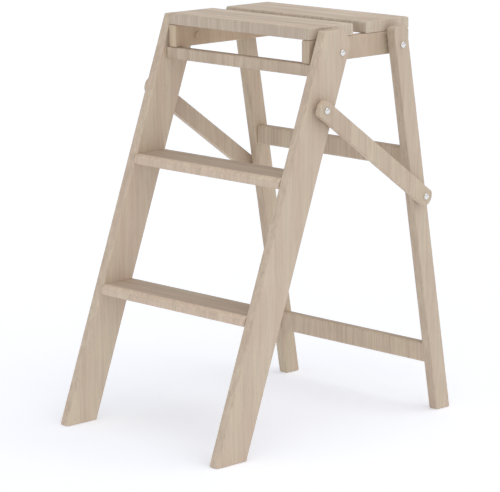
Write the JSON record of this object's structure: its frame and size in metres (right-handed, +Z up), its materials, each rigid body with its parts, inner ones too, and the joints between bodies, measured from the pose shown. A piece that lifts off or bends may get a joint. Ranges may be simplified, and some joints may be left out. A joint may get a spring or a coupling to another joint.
{
  "type": "step ladder",
  "caption": "Folding wooden step ladder with treads between leaning stiles, a slatted platform, rear legs and a pivoted brace on each side.",
  "frame": {"origin": "middle of the footprint, on the floor under the open ladder", "axes": "+Z up, +X to the right of someone facing the treads, +Y from the treads to the rear legs"},
  "size_m": [0.4086, 0.5279, 0.65],
  "materials": {
    "beech": "matt",
    "steel": "bright",
    "nylon": "matt"
  },
  "bodies": {
    "front_frame": {"stile_left": "beech", "stile_right": "beech", "tread_lower": "beech", "tread_upper": "beech", "front_rail": "beech", "lower_tread_dowel_left_front": "beech", "lower_tread_dowel_left_rear": "beech", "lower_tread_dowel_right_front": "beech", "lower_tread_dowel_right_rear": "beech", "upper_tread_dowel_left_front": "beech", "upper_tread_dowel_left_rear": "beech", "upper_tread_dowel_right_front": "beech", "upper_tread_dowel_right_rear": "beech", "stile_pivot_left_bolt": "steel", "stile_pivot_left_nut": "steel", "stile_pivot_right_bolt": "steel", "stile_pivot_right_nut": "steel", "stile_spacer_left": "nylon", "stile_spacer_right": "nylon", "brace_stile_pivot_left_bolt": "steel", "brace_stile_pivot_left_nut": "steel", "brace_stile_pivot_right_bolt": "steel", "brace_stile_pivot_right_nut": "steel", "brace_stile_washer_left": "steel", "brace_stile_washer_right": "steel"},
    "platform": {"bearer_left": "beech", "bearer_right": "beech", "slat_front": "beech", "slat_rear": "beech", "front_slat_screw_left_1": "steel", "front_slat_screw_left_2": "steel", "front_slat_screw_right_1": "steel", "front_slat_screw_right_2": "steel", "rear_slat_screw_left_1": "steel", "rear_slat_screw_left_2": "steel", "rear_slat_screw_right_1": "steel", "rear_slat_screw_right_2": "steel"},
    "rear_frame": {"rear_leg_left": "beech", "rear_leg_right": "beech", "rear_rail_lower": "beech", "rear_rail_upper": "beech", "leg_pivot_left_bolt": "steel", "leg_pivot_left_nut": "steel", "leg_pivot_right_bolt": "steel", "leg_pivot_right_nut": "steel", "leg_spacer_left": "nylon", "leg_spacer_right": "nylon", "brace_leg_nut_left": "steel", "brace_leg_nut_right": "steel"},
    "brace_left": {"brace_left": "beech", "brace_leg_bolt_left": "steel", "brace_leg_washer_left": "steel"},
    "brace_right": {"brace_right": "beech", "brace_leg_bolt_right": "steel", "brace_leg_washer_right": "steel"}
  },
  "joints": [
    {"name": "platform_fold", "type": "hinge", "parent": "front_frame", "child": "platform", "pos_m": [0, 0.00851, 0.6104], "axis": [-1, 0, 0], "range_deg": [0, 77]},
    {"name": "rear_frame_swing", "type": "hinge", "parent": "platform", "child": "rear_frame", "pos_m": [0, 0.14532, 0.6104], "axis": [1, 0, 0], "range_deg": [0, 44.7]},
    {"name": "brace_left_swing", "type": "hinge", "parent": "front_frame", "child": "brace_left", "pos_m": [-0.19575, -0.04277, 0.5271], "axis": [-1, 0, 0], "range_deg": [0, 57.9]},
    {"name": "brace_right_swing", "type": "hinge", "parent": "front_frame", "child": "brace_right", "pos_m": [0.19575, -0.04277, 0.5271], "axis": [-1, 0, 0], "range_deg": [0, 57.9]}
  ],
  "couplings": [
    {"joint": "rear_frame_swing", "follows": "platform_fold", "ratio": 0.5796},
    {"joint": "brace_left_swing", "follows": "platform_fold", "ratio": 0.7519},
    {"joint": "brace_right_swing", "follows": "platform_fold", "ratio": 0.7519}
  ]
}
